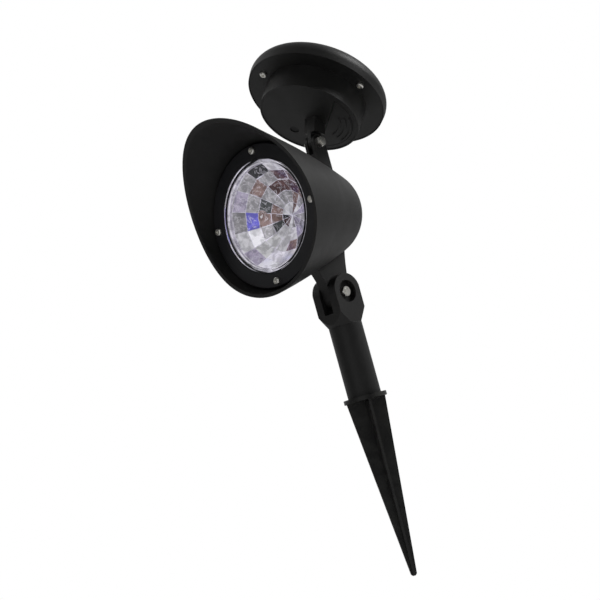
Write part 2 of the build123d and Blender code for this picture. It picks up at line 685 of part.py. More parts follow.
def battery_door():
    door = Pos(0, 0, drum_face()) * extrude(door_outline(0), DOOR_THICKNESS)
    for radius in GRIP_RADII:
        half_width, sunk = GRIP_WIDTH / 2, drum_face() + DOOR_THICKNESS / 3
        rib = ring(radius + half_width, radius - half_width, drum_face() - GRIP_HEIGHT, sunk)
        wedge_y = FAR * tan(radians(GRIP_SPAN / 2))
        wedge = make_face(Polyline((0, 0), (FAR, -wedge_y), (FAR, wedge_y), close=True))
        door += rib & Pos(0, 0, -FAR) * extrude(wedge, FAR)
    return bay(door)


def tray_half_length():
    return BATTERY_LENGTH / 2 + SPRING_LENGTH / 2 + 2 * CONTACT_THICKNESS


def battery_middle():
    """Height of the cell's line above the drum's floor."""
    return drum_floor() + TRAY_GAP + BATTERY_R


def battery_tray():
    inner_half = BATTERY_R + TRAY_GAP
    width = 2 * (inner_half + TRAY_WALL)
    top = battery_middle() + inner_half
    low = drum_floor()
    half = tray_half_length()
    tray = block(width, 2 * (half + TRAY_WALL), low, top + TRAY_WALL)
    tray -= block(2 * inner_half, 2 * half, low - 1, top)
    inside_drum = disk(DRUM_R - DRUM_WALL - TRAY_GAP, low, FAR)
    return bay(Pos(BATTERY_OFFSET, 0, 0) * tray & inside_drum)


def along_bay(shape, start):
    """Lay a shape made along +Z on the cell's line, with its foot at start."""
    return bay(Pos(BATTERY_OFFSET, start, battery_middle()) * Rot(-90, 0, 0) * shape)


def battery_start():
    return -tray_half_length() + CONTACT_THICKNESS + SPRING_LENGTH


def battery_cell():
    cell = disk(BATTERY_R, 0, BATTERY_LENGTH - TERMINAL_H)
    cell = fillet(cell.edges(), TERMINAL_H / 2)
    cell += disk(TERMINAL_R, BATTERY_LENGTH - 1.2 * TERMINAL_H, BATTERY_LENGTH)
    return along_bay(cell, battery_start())


def battery_spring():
    """Flat contact plate with a conical spring that is drawn as stacked rings."""
    plate = block(2 * BATTERY_R, 2 * BATTERY_R - 1, 0, CONTACT_THICKNESS)
    pitch_z = SPRING_LENGTH / SPRING_TURNS
    spring = plate
    for turn in range(SPRING_TURNS):
        low = CONTACT_THICKNESS + turn * pitch_z
        outer = SPRING_R - SPRING_TAPER * turn
        spring += ring(outer, outer - SPRING_WIRE, low - CONTACT_THICKNESS / 5, low + pitch_z)
    return along_bay(spring, -tray_half_length())


def battery_contact():
    plate = block(2 * BATTERY_R, 2 * BATTERY_R - 1, 0, CONTACT_THICKNESS)
    return along_bay(plate, battery_start() + BATTERY_LENGTH)


def charge_board():
    width, depth, thickness = CHARGE_BOARD
    board = block(width, depth, 0, thickness)
    parts = ((CHARGE_CHIP, CHARGE_CHIP_PLACE), (CHARGE_SOCKET, CHARGE_SOCKET_PLACE))
    for (length, breadth, height), (x, y) in parts:
        board += Pos(x, y, 0) * block(length, breadth, thickness, thickness + height)
    return DISC * charge_place() * board


NODES = {
    "ground_spike": ground_spike,
    "pole_tube": pole_tube,
    "pole_clevis": pole_clevis,
    "head_hinge_bolt": lambda: lower_hinge(hinge_bolt(lower_reach())),
    "head_hinge_nut": lambda: lower_hinge(hex_nut(lower_reach())),
    "head_shell": head_shell,
    "bezel_ring": bezel_ring,
    "bezel_screws": bezel_screws,
    "clear_cover": clear_cover,
    "cover_gasket": cover_gasket,
    "kaleidoscope_lens": kaleidoscope_lens,
    "motor_shaft": motor_shaft,
    "lamp_chassis": lamp_chassis,
    "chassis_screws": chassis_screws,
    "led_board": led_board,
    "led_emitters": led_emitters,
    "motor_gearbox": motor_gearbox,
    "motor_can": motor_can,
    "panel_base": panel_base,
    "panel_top_cover": panel_top_cover,
    "solar_pane": solar_pane,
    "solar_cell": solar_cell,
    "panel_seal": panel_seal,
    "panel_screws": panel_screws,
    "panel_hinge_bolt": lambda: upper_hinge(hinge_bolt(FORK_WIDTH / 2)),
    "panel_hinge_nut": lambda: upper_hinge(hex_nut(FORK_WIDTH / 2)),
    "switch_button": switch_button,
    "switch_body": switch_body,
    "battery_door": battery_door,
    "battery_tray": battery_tray,
    "battery_cell": battery_cell,
    "battery_spring": battery_spring,
    "battery_contact": battery_contact,
    "charge_board": charge_board,
}

os.makedirs("parts", exist_ok=True)
for name, make in NODES.items():
    solid = make()
    solid.label = name
    export_step(solid, f"parts/{name}.step")
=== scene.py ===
# %% [markdown]
# # A garden light projector on a ground spike
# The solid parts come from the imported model: spike, tube, hinge, lamp head, solar disc and every
# screw. This lesson dresses them. Each cell builds one piece or one finish, says what it is on the
# real lamp, and prints what it made. Everything is in metres, in the model's own frame: +Z up the
# pole, the lamp facing -Y, the origin at ground level.

# %% Load the fixed model
import json
import math
import random

import bmesh
import bpy
from mathutils import Matrix, Vector


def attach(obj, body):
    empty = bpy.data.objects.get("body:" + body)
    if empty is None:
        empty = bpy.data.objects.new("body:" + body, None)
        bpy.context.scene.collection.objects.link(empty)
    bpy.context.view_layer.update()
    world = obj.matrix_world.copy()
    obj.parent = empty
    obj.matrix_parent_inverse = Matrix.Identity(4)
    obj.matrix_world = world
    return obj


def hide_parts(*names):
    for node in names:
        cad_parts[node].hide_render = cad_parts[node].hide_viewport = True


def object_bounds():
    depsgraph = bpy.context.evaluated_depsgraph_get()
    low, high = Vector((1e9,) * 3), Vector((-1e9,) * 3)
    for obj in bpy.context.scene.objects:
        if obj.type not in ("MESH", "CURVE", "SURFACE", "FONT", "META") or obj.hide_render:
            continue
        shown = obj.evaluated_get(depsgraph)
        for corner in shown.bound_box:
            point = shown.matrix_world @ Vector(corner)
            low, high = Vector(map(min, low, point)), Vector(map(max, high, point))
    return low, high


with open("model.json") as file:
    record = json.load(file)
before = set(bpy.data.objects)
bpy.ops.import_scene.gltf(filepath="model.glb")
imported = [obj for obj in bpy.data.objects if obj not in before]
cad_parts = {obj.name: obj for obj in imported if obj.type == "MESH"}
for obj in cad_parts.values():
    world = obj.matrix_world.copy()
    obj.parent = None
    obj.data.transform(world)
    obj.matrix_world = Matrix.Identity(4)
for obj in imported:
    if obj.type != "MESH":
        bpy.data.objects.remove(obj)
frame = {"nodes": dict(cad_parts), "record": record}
cad_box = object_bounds()
nodes = frame["nodes"]

# %% [markdown]
# ## The camera
# The lamp is seen from its own front left, a little below the collar, with a long lens that keeps
# the pole and the spike in proportion. The camera is rolled, so the pole leans across the frame.
# A matrix built from its right, up and backward directions says this more plainly than angles do.

# %% Camera
CAMERA_RIGHT = Vector((0.6924, 0.6709, -0.2655))
CAMERA_UP = Vector((0.2333, 0.1400, 0.9623))
CAMERA_BACK = Vector((0.6827, -0.7282, -0.0596))
CAMERA_PLACE = Vector((1.72163, -1.87451, -0.07424))

camera_data = bpy.data.cameras.new("camera")
camera_data.lens, camera_data.sensor_width = 216.0, 36.0
camera_data.clip_start, camera_data.clip_end = 0.05, 30.0
camera = bpy.data.objects.new("camera", camera_data)
turn = Matrix((CAMERA_RIGHT, CAMERA_UP, CAMERA_BACK)).transposed()
camera.matrix_world = Matrix.Translation(CAMERA_PLACE) @ turn.to_4x4()
bpy.context.scene.collection.objects.link(camera)
bpy.context.scene.camera = camera
print("camera at", [round(v, 3) for v in CAMERA_PLACE])

# %% [markdown]
# ## Helpers for meshes and objects
# Every new piece starts as a bmesh, is shaped there in its final place, and becomes an object that
# sits at the origin, unturned. The lamp head has a frame of its own, centred on the bezel's face, so
# one matrix carries a shape from "forward is +Z" to where it belongs.

# %% Frames and the object maker
HEAD_PITCH, DISC_TILT = math.radians(6.4), math.radians(43.0)
HEAD_CENTRE = Vector((0.0, -0.0501, 0.1390))


def axes_matrix(x_axis, y_axis, z_axis, place):
    turned = Matrix((x_axis, y_axis, z_axis)).transposed().to_4x4()
    return Matrix.Translation(place) @ turned


forward = Vector((0.0, -math.cos(HEAD_PITCH), math.sin(HEAD_PITCH)))
side = Vector((1.0, 0.0, 0.0))
HEAD = axes_matrix(side, forward.cross(side), forward, HEAD_CENTRE)


def new_piece(name, shape, body, smooth=False):
    """Turn a bmesh into an object of that name that rides on a body."""
    mesh = bpy.data.meshes.new(name)
    shape.to_mesh(mesh)
    shape.free()
    for face in mesh.polygons:
        face.use_smooth = smooth
    piece = bpy.data.objects.new(name, mesh)
    bpy.context.scene.collection.objects.link(piece)
    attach(piece, body)
    print(name, "faces", len(mesh.polygons))
    return piece


print("head frame faces", [round(v, 3) for v in forward])

# %% [markdown]
# ## The moulded grain
# All the black plastic has the same spark-eroded grain: tiny soft pits, with faint cloudy patches
# where the melt cooled unevenly. It is one shader group, so the shell, the disc and the spike can
# share it with their own pit size and cloudiness. The group puts out only things that change over
# the surface: a shade mask and a height.


# %% Shader group: moulded grain
def add_node(tree, kind, place, **values):
    node = tree.nodes.new(kind)
    node.location = place
    for key, value in values.items():
        setattr(node, key, value)
    return node


def make_grain_group():
    group = bpy.data.node_groups.new("moulded_grain", "ShaderNodeTree")
    face = group.interface
    face.new_socket("Pit Scale", in_out="INPUT", socket_type="NodeSocketFloat").default_value = 1500.0
    face.new_socket("Cloud Scale", in_out="INPUT", socket_type="NodeSocketFloat").default_value = 40.0
    face.new_socket("Shade", in_out="OUTPUT", socket_type="NodeSocketFloat")
    face.new_socket("Height", in_out="OUTPUT", socket_type="NodeSocketFloat")
    ins = add_node(group, "NodeGroupInput", (-700, 0))
    outs = add_node(group, "NodeGroupOutput", (500, 0))
    where = add_node(group, "ShaderNodeTexCoord", (-700, -250))
    pits = add_node(group, "ShaderNodeTexNoise", (-400, 100))
    pits.inputs["Detail"].default_value = 3.0
    pits.inputs["Roughness"].default_value = 0.6
    clouds = add_node(group, "ShaderNodeTexNoise", (-400, -200))
    clouds.inputs["Detail"].default_value = 4.0
    clouds.inputs["Distortion"].default_value = 0.6
    soften = add_node(group, "ShaderNodeMapRange", (-100, -200))
    soften.inputs["From Min"].default_value = 0.35
    soften.inputs["From Max"].default_value = 0.68
    for texture, scale in ((pits, "Pit Scale"), (clouds, "Cloud Scale")):
        group.links.new(where.outputs["Object"], texture.inputs["Vector"])
        group.links.new(ins.outputs[scale], texture.inputs["Scale"])
    group.links.new(clouds.outputs["Fac"], soften.inputs["Value"])
    group.links.new(soften.outputs["Result"], outs.inputs["Shade"])
    group.links.new(pits.outputs["Fac"], outs.inputs["Height"])
    return group


GRAIN = make_grain_group()
print("group", GRAIN.name, "sockets", len(GRAIN.interface.items_tree))


# %% [markdown]
# ## Black plastic
# The housing is matt black with a soft sheen at grazing angles. Two close shades of the same black
# are mixed by the cloud mask, and the pits go through a Bump node. The bezel has the finest grain,
# and the spike is the glossiest and the most mottled, as if moulded from a different plastic.


# %% Material: moulded plastic
def finish_of(name):
    material = bpy.data.materials.new(name)
    material.use_nodes = True
    return material, material.node_tree, material.node_tree.nodes["Principled BSDF"]


def vary_roughness(tree, shader, mask, least, most):
    spread = add_node(tree, "ShaderNodeMapRange", (-450, -50))
    spread.inputs["To Min"].default_value = least
    spread.inputs["To Max"].default_value = most
    tree.links.new(mask, spread.inputs["Value"])
    tree.links.new(spread.outputs["Result"], shader.inputs["Roughness"])


def add_bump(tree, shader, height, strength, distance):
    bump = add_node(tree, "ShaderNodeBump", (-300, -300))
    bump.inputs["Strength"].default_value = strength
    bump.inputs["Distance"].default_value = distance
    tree.links.new(height, bump.inputs["Height"])
    tree.links.new(bump.outputs["Normal"], shader.inputs["Normal"])


def mix_shades(tree, shader, mask, dark, light):
    shade = add_node(tree, "ShaderNodeMix", (-500, 200), data_type="RGBA")
    shade.inputs["A"].default_value = (*dark, 1.0)
    shade.inputs["B"].default_value = (*light, 1.0)
    tree.links.new(mask, shade.inputs["Factor"])
    tree.links.new(shade.outputs["Result"], shader.inputs["Base Color"])


def moulded(name, dark, light, roughness, pit_scale, pit_depth, cloud_scale=35.0):
    material, tree, shader = finish_of(name)
    grain = add_node(tree, "ShaderNodeGroup", (-900, 0), node_tree=GRAIN)
    grain.inputs["Pit Scale"].default_value = pit_scale
    grain.inputs["Cloud Scale"].default_value = cloud_scale
    mix_shades(tree, shader, grain.outputs["Shade"], dark, light)
    vary_roughness(tree, shader, grain.outputs["Shade"], roughness - 0.05, roughness + 0.07)
    add_bump(tree, shader, grain.outputs["Height"], pit_depth, 0.0002)
    shader.inputs["Specular IOR Level"].default_value = 0.35
    return material


housing_black = moulded("housing_black", (0.009, 0.009, 0.009), (0.014, 0.0135, 0.013), 0.52, 1400, 0.5)
bezel_black = moulded("bezel_black", (0.009, 0.009, 0.011), (0.013, 0.013, 0.015), 0.50, 1900, 0.3)
disc_black = moulded("disc_black", (0.009, 0.009, 0.009), (0.014, 0.014, 0.013), 0.48, 1300, 0.5)
tube_black = moulded("tube_black", (0.009, 0.009, 0.009), (0.013, 0.013, 0.013), 0.50, 1700, 0.3)
spike_black = moulded("spike_black", (0.010, 0.010, 0.010), (0.024, 0.024, 0.022), 0.38, 900, 0.4, 90.0)
inner_black = moulded("inner_black", (0.010, 0.010, 0.011), (0.018, 0.018, 0.019), 0.60, 1500, 0.3)
print("black plastics made")

# %% [markdown]
# ## Metals
# The screws, bolts and nuts are bright zinc. Zinc plate is not a mirror: it is brushed by the
# tumbling barrel and slightly yellow, so a fine stretched noise varies both its colour and its
# roughness.


# %% Material: plated metal
def plated(name, dark, light, roughness, scale):
    material, tree, shader = finish_of(name)
    where = add_node(tree, "ShaderNodeTexCoord", (-1100, 0))
    stretch = add_node(tree, "ShaderNodeMapping", (-900, 0))
    stretch.inputs["Scale"].default_value = (1.0, 1.0, 6.0)
    marks = add_node(tree, "ShaderNodeTexNoise", (-700, 0))
    marks.inputs["Scale"].default_value = scale
    marks.inputs["Detail"].default_value = 5.0
    tree.links.new(where.outputs["Object"], stretch.inputs["Vector"])
    tree.links.new(stretch.outputs["Vector"], marks.inputs["Vector"])
    mix_shades(tree, shader, marks.outputs["Fac"], dark, light)
    vary_roughness(tree, shader, marks.outputs["Fac"], roughness - 0.08, roughness + 0.12)
    add_bump(tree, shader, marks.outputs["Fac"], 0.15, 0.0001)
    shader.inputs["Metallic"].default_value = 1.0
    return material


zinc = plated("bright_zinc", (0.70, 0.69, 0.64), (0.98, 0.96, 0.91), 0.28, 500)
motor_steel = plated("motor_steel", (0.35, 0.35, 0.35), (0.55, 0.55, 0.54), 0.40, 300)
nickel = plated("nickel_plate", (0.60, 0.59, 0.55), (0.80, 0.79, 0.75), 0.22, 400)
print("metals made")

# %% [markdown]
# ## Clear plastic
# The lamp's cover and the pane over the solar cell are clear acrylic. Transmission stays a plain
# value on the shader, and only the roughness changes a little over the surface, as handling leaves
# it. The pane over the cell is thicker looking and slightly smoky.


# %% Material: clear plastic
def clear(name, colour, roughness):
    material, tree, shader = finish_of(name)
    grain = add_node(tree, "ShaderNodeGroup", (-700, 0), node_tree=GRAIN)
    grain.inputs["Pit Scale"].default_value = 300.0
    grain.inputs["Cloud Scale"].default_value = 60.0
    vary_roughness(tree, shader, grain.outputs["Shade"], roughness, roughness + 0.03)
    shader.inputs["Base Color"].default_value = (*colour, 1.0)
    shader.inputs["Transmission Weight"].default_value = 1.0
    shader.inputs["IOR"].default_value = 1.49
    return material


cover_clear = clear("cover_acrylic", (0.97, 0.97, 1.0), 0.01)
pane_clear = clear("pane_acrylic", (0.90, 0.92, 0.95), 0.03)
print("clear plastics made")

# %% [markdown]
# ## Rubber, board, light emitters and battery sleeve
# Apart from the button, these sit inside the head or the disc. The board is green mask over a coarse
# weave, the emitters are milky epoxy, and the battery has a plain coloured sleeve.

# %% Materials of the small parts
rubber = moulded("seal_rubber", (0.012, 0.012, 0.012), (0.022, 0.022, 0.022), 0.70, 1000, 0.5)
board_green = moulded("board_mask", (0.010, 0.075, 0.030), (0.016, 0.115, 0.045), 0.35, 2600, 0.5, 160.0)
epoxy = moulded("milky_epoxy", (0.80, 0.80, 0.74), (0.92, 0.92, 0.88), 0.18, 900, 0.1)
sleeve = moulded("battery_sleeve", (0.03, 0.16, 0.09), (0.05, 0.22, 0.12), 0.25, 700, 0.1)
print("small finishes made")

# %% [markdown]
# ## The solar cell
# A small polycrystalline cell: angular dark blue crystals crossed by thin silver fingers and two
# wider collecting bars. The crystals are a Voronoi pattern, and the lines are thin bands repeated
# along the disc's own X and tilted Y, so a Mapping node lays the pattern in the disc's plane first.


# %% Material: solar cell
def make_cell():
    material, tree, shader = finish_of("solar_cell_blue")
    where = add_node(tree, "ShaderNodeTexCoord", (-1500, 0))
    plane = add_node(tree, "ShaderNodeMapping", (-1300, 0))
    plane.inputs["Rotation"].default_value = (DISC_TILT, 0.0, 0.0)
    split = add_node(tree, "ShaderNodeSeparateXYZ", (-1100, -200))
    crystals = add_node(tree, "ShaderNodeTexVoronoi", (-1000, 200))
    crystals.inputs["Scale"].default_value = 150.0
    blues = add_node(tree, "ShaderNodeMix", (-700, 200), data_type="RGBA")
    blues.inputs["A"].default_value = (0.004, 0.008, 0.035, 1.0)
    blues.inputs["B"].default_value = (0.012, 0.025, 0.095, 1.0)
    tree.links.new(where.outputs["Object"], plane.inputs["Vector"])
    tree.links.new(plane.outputs["Vector"], crystals.inputs["Vector"])
    tree.links.new(plane.outputs["Vector"], split.inputs["Vector"])
    tree.links.new(crystals.outputs["Color"], blues.inputs["Factor"])
    masks = []
    for axis, pitch, width in (("X", 0.0024, 0.09), ("Y", 0.0153, 0.07)):
        count = add_node(tree, "ShaderNodeMath", (-900, -300), operation="DIVIDE")
        count.inputs[1].default_value = pitch
        part = add_node(tree, "ShaderNodeMath", (-720, -300), operation="FRACT")
        line = add_node(tree, "ShaderNodeMath", (-540, -300), operation="LESS_THAN")
        line.inputs[1].default_value = width
        tree.links.new(split.outputs[axis], count.inputs[0])
        tree.links.new(count.outputs[0], part.inputs[0])
        tree.links.new(part.outputs[0], line.inputs[0])
        masks.append(line)
    either = add_node(tree, "ShaderNodeMath", (-350, -300), operation="MAXIMUM")
    tree.links.new(masks[0].outputs[0], either.inputs[0])
    tree.links.new(masks[1].outputs[0], either.inputs[1])
    printed = add_node(tree, "ShaderNodeMix", (-300, 100), data_type="RGBA")
    printed.inputs["B"].default_value = (0.35, 0.37, 0.40, 1.0)
    tree.links.new(either.outputs[0], printed.inputs["Factor"])
    tree.links.new(blues.outputs["Result"], printed.inputs["A"])
    tree.links.new(printed.outputs["Result"], shader.inputs["Base Color"])
    shader.inputs["Roughness"].default_value = 0.22
    return material


solar_blue = make_cell()
print("solar cell made")

# %% [markdown]
# ## Dressing the solid parts
# Each part from the model keeps its shape and gets its finish by name.

# %% Assign the finishes
FINISHES = {
    housing_black: ["head_shell", "pole_clevis"],
    bezel_black: ["bezel_ring"],
    disc_black: ["panel_base", "panel_top_cover", "battery_door"],
    tube_black: ["pole_tube"],
    spike_black: ["ground_spike"],
    inner_black: ["lamp_chassis", "motor_gearbox", "switch_body", "battery_tray"],
    zinc: ["head_hinge_bolt", "head_hinge_nut", "bezel_screws", "chassis_screws", "panel_screws",
           "panel_hinge_bolt", "panel_hinge_nut"],
    motor_steel: ["motor_shaft", "motor_can"],
    nickel: ["battery_spring", "battery_contact"],
    cover_clear: ["clear_cover"],
    pane_clear: ["solar_pane"],
    solar_blue: ["solar_cell"],
    rubber: ["cover_gasket", "panel_seal", "switch_button"],
    board_green: ["led_board", "charge_board"],
    epoxy: ["led_emitters"],
    sleeve: ["battery_cell"],
}
for material, names in FINISHES.items():
    for name in names:
        mesh = nodes[name].data
        mesh.materials.clear()
        mesh.materials.append(material)
dressed = sum(len(names) for names in FINISHES.values())
print("dressed", dressed, "of", len(nodes))

# %% [markdown]
# ## Softened mouldings
# No moulded edge is knife sharp. The hood's rim, the drum's edge and the hinge ears each end in a
# small radius, and that is what catches the light as a thin pale line. The model's parts have sharp
# edges, so the large mouldings are copied here: the copy's loose triangles are merged, flat areas
# are joined up, and every sharp edge gets a two-step bevel. Smooth shading would bend the light over
# the flat areas too, so a Weighted Normal modifier lets the large faces set the direction.

# %% Soften the large mouldings
BODY_OF = {node: body for body, names in frame["record"]["behaviour"]["bodies"].items() for node in names}
EDGE_RADII = {
    "head_shell": 0.00045, "bezel_ring": 0.00025, "panel_base": 0.00020, "panel_top_cover": 0.00050,
    "pole_clevis": 0.00050, "pole_tube": 0.00030, "ground_spike": 0.00025, "battery_door": 0.00012,
}
SHARP, FLAT, CREASE = math.radians(28), math.radians(0.05), math.radians(40)
WELD = 0.000004


def softened(node, radius):
    shape = bmesh.new()
    shape.from_mesh(nodes[node].data)
    bmesh.ops.remove_doubles(shape, verts=shape.verts, dist=WELD)
    bmesh.ops.dissolve_limit(shape, angle_limit=FLAT, use_dissolve_boundaries=False,
                             verts=shape.verts, edges=shape.edges)
    corners = [edge for edge in shape.edges if len(edge.link_faces) == 2 and edge.calc_face_angle() > SHARP]
    bmesh.ops.bevel(shape, geom=corners, offset=radius, offset_type="OFFSET", segments=2, profile=0.5,
                    affect="EDGES", clamp_overlap=True, material=-1)
    for edge in shape.edges:
        edge.smooth = len(edge.link_faces) == 2 and edge.calc_face_angle() < CREASE
    piece = new_piece(node + "_moulding", shape, BODY_OF[node], smooth=True)
    piece.data.materials.append(nodes[node].data.materials[0])
    weighted = piece.modifiers.new("flat faces stay flat", "WEIGHTED_NORMAL")
    weighted.weight, weighted.keep_sharp = 100, True
    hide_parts(node)
    return piece


mouldings = {node: softened(node, radius) for node, radius in EDGE_RADII.items()}
print("mouldings", len(mouldings))

# %% [markdown]
# ## The faceted lens
# Behind the clear cover turns a deep bowl of clear plastic, moulded as flat facets like the inside
# of a mirror ball. Its facets run in rings round the pole, fifteen to a ring. A UV sphere already
# has those rings and meridians, so the bowl is the bottom of one, cut off at sixty degrees.

# %% Facet bowl
BOWL_R = 0.0444
POLE_DEPTH = 0.0294
RING_ANGLE = 12.0
RINGS = 5
MERIDIANS = 15
MOULD_SEED = 7


def facet_bowl():
    shape = bmesh.new()
    bmesh.ops.create_uvsphere(shape, u_segments=MERIDIANS, v_segments=int(180 / RING_ANGLE), radius=BOWL_R)
    rim_height = -BOWL_R * math.cos(math.radians(RINGS * RING_ANGLE))
    spare = [vert for vert in shape.verts if vert.co.z > rim_height + 0.0001]
    bmesh.ops.delete(shape, geom=spare, context="VERTS")
    bmesh.ops.translate(shape, verts=shape.verts, vec=(0, 0, BOWL_R - POLE_DEPTH))
    bmesh.ops.reverse_faces(shape, faces=shape.faces)
    return shape


bowl = facet_bowl()
print("bowl facets", len(bowl.faces))

# %% [markdown]
# ## Facet tints: painted reflections
# Each face is inset, so that it stands a little proud of a fine border, and then tipped a few degrees
# its own way, so that neighbours catch different lights. What shows in a real facet is a small piece
# of whatever lies round the lamp: bright sky, grey board, brown edges, now and then a violet flash.
# These reflections are painted into the facets' colour, and the fine borders carry a pale painted
# highlight.
# Here those are fixed tints. Each ring has a row of letters, one for each facet from
# the right-hand side round over the top, and each letter names a tint. A colour attribute holds
# them, so the tints turn with the lens, and the borders between facets stay bright. The facets are
# put in order by ring and sector first, because the sphere makes its faces in no fixed order.

# %% Tip the facets and paint their reflections
# Painted reflections: each letter names a colour that stands for what a facet would reflect.
PAINTED_REFLECTION_TINTS = {
    "W": (0.97, 0.96, 0.98), "L": (0.50, 0.45, 0.58), "G": (0.42, 0.41, 0.42), "g": (0.10, 0.11, 0.11),
    "P": (0.30, 0.20, 0.18), "B": (0.12, 0.06, 0.06), "D": (0.035, 0.035, 0.04), "V": (0.14, 0.13, 0.62),
}
RING_PAINTED_REFLECTIONS = ["LWPWWWWDBBWGLLG", "LGPGGGPPgWWWLGG", "LPBBBGgPGWWPDPW", "LWBBGPGVWWWWPLL", "LWWWDGLGWLWGWLL"]
# A pale painted highlight along the fine borders between facets.
BORDER_PAINTED_HIGHLIGHT = (0.78, 0.76, 0.84, 1.0)
BORDER_WIDTH, FACET_RISE = 0.00020, 0.00016
MOST_LEAN = 7.0
rng = random.Random(MOULD_SEED)


def place_of(facet):
    """Ring from the pole and sector round it, which don't depend on the order faces were made in."""
    centre = facet.calc_center_median()
    slope = math.degrees(math.asin(min(1.0, math.hypot(centre.x, centre.y) / BOWL_R)))
    sector = int(math.degrees(math.atan2(centre.y, centre.x)) % 360 / (360 / MERIDIANS))
    return min(RINGS - 1, int(slope / RING_ANGLE)), sector


facets = sorted(bowl.faces, key=place_of)
bmesh.ops.inset_individual(bowl, faces=facets, thickness=BORDER_WIDTH, depth=FACET_RISE,
                              use_even_offset=True)
# The colour attribute holds painted light: highlights on the borders, reflections on the facets.
painted_light_layer = bowl.loops.layers.float_color.new("painted_light")
for face in bowl.faces:
    for loop in face.loops:
        loop[painted_light_layer] = BORDER_PAINTED_HIGHLIGHT
for facet in facets:
    (ring, sector), centre = place_of(facet), facet.calc_center_median()
    angle = math.radians(rng.uniform(-MOST_LEAN, MOST_LEAN))
    lean = Matrix.Rotation(angle, 3, Vector((rng.uniform(-1, 1), rng.uniform(-1, 1), 0.2)))
    bmesh.ops.rotate(bowl, verts=facet.verts, cent=centre, matrix=lean)
    # Each facet gets its painted reflection, made a little brighter or darker at random.
    painted_light = PAINTED_REFLECTION_TINTS[RING_PAINTED_REFLECTIONS[ring][sector]]
    shift = rng.uniform(0.85, 1.1)
    for loop in facet.loops:
        loop[painted_light_layer] = (*(min(1.0, part * shift) for part in painted_light), 1.0)
print("facets_painted", len(facets))

# %% [markdown]
# ## The bowl's wall and hub
# The rim is drawn out to the width of the retaining step, the sheet is given its wall thickness, and
# the hub that the drive shaft turns is stood on its back.

# %% Close the bowl and place it
RIM_R, WALL = 0.0400, 0.0012
HUB_R, HUB_LENGTH, HUB_GAP = 0.0045, 0.0074, 0.0002
rim = [edge for edge in bowl.edges if edge.is_boundary]
grown = bmesh.ops.extrude_edge_only(bowl, edges=rim)
rim_verts = [item for item in grown["geom"] if isinstance(item, bmesh.types.BMVert)]
scale = RIM_R / math.hypot(rim_verts[0].co.x, rim_verts[0].co.y)
bmesh.ops.scale(bowl, verts=rim_verts, vec=(scale, scale, 1.0))
bmesh.ops.solidify(bowl, geom=bowl.faces, thickness=WALL)
hub = bmesh.ops.create_cone(bowl, cap_ends=True, segments=48, radius1=HUB_R, radius2=HUB_R, depth=HUB_LENGTH)
bmesh.ops.translate(bowl, verts=hub["verts"], vec=(0, 0, -POLE_DEPTH - HUB_GAP - HUB_LENGTH / 2))
bmesh.ops.transform(bowl, matrix=HEAD, verts=bowl.verts)
faceted_lens = new_piece("faceted_lens", bowl, "lens")
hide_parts("kaleidoscope_lens")

# %% [markdown]
# ## Facet finish
# The facets mirror more than they let through, so the finish is mostly metallic with the painted
# reflections as its colour, a hint of haze, thin painted glints screened over it, and a clear coat
# for the second, sharper reflection of the moulded skin. The same painted colour also glows faintly,
# a painted light that stands for what a clear lens passes on from behind.


# %% Material: facets
def make_facets():
    material, tree, shader = finish_of("lens_facets")
    # The painted reflections and highlights, read from the colour attribute.
    painted_light = add_node(tree, "ShaderNodeVertexColor", (-700, 100), layer_name="painted_light")
    haze = add_node(tree, "ShaderNodeGroup", (-900, -200), node_tree=GRAIN)
    haze.inputs["Pit Scale"].default_value = 260.0
    haze.inputs["Cloud Scale"].default_value = 190.0
    streak = add_node(tree, "ShaderNodeMix", (-400, 100), data_type="RGBA", blend_type="MULTIPLY")
    streak.inputs["Factor"].default_value = 0.42
    ramp = add_node(tree, "ShaderNodeValToRGB", (-650, -150))
    dark_stop, light_stop = ramp.color_ramp.elements
    dark_stop.position, light_stop.position = 0.26, 0.62
    dark_stop.color = (0.12, 0.12, 0.14, 1.0)
    # Painted glints: a thin band of a distorted noise, screened over the colour as pale lines.
    glints = add_node(tree, "ShaderNodeTexNoise", (-900, 450))
    glints.inputs["Scale"].default_value = 150.0
    glints.inputs["Detail"].default_value = 3.0
    glints.inputs["Distortion"].default_value = 3.0
    thin = add_node(tree, "ShaderNodeValToRGB", (-650, 450))
    start, peak = thin.color_ramp.elements
    start.position, peak.position = 0.55, 0.60
    peak.color = (0.95, 0.93, 1.0, 1.0)
    thin.color_ramp.elements.new(0.65).color = (0.0, 0.0, 0.0, 1.0)
    glow = add_node(tree, "ShaderNodeMix", (-150, 250), data_type="RGBA", blend_type="SCREEN")
    glow.inputs["Factor"].default_value = 0.50
    where = add_node(tree, "ShaderNodeTexCoord", (-1100, 450))
    tree.links.new(where.outputs["Object"], glints.inputs["Vector"])
    tree.links.new(glints.outputs["Fac"], thin.inputs["Fac"])
    tree.links.new(streak.outputs["Result"], glow.inputs["A"])
    tree.links.new(thin.outputs["Color"], glow.inputs["B"])
    tree.links.new(haze.outputs["Shade"], ramp.inputs["Fac"])
    tree.links.new(painted_light.outputs["Color"], streak.inputs["A"])
    tree.links.new(ramp.outputs["Color"], streak.inputs["B"])
    tree.links.new(glow.outputs["Result"], shader.inputs["Base Color"])
    # The painted colour also goes to Emission, so the facets glow: painted light, as the lens is no lamp.
    tree.links.new(glow.outputs["Result"], shader.inputs["Emission Color"])
    shader.inputs["Emission Strength"].default_value = 0.42
    add_bump(tree, shader, haze.outputs["Height"], 0.45, 0.0005)
    shader.inputs["Metallic"].default_value = 0.60
    shader.inputs["Roughness"].default_value = 0.09
    shader.inputs["Coat Weight"].default_value = 0.6
    shader.inputs["Coat Roughness"].default_value = 0.05
    return material


facet_finish = make_facets()
faceted_lens.data.materials.append(facet_finish)
print("lens finished")
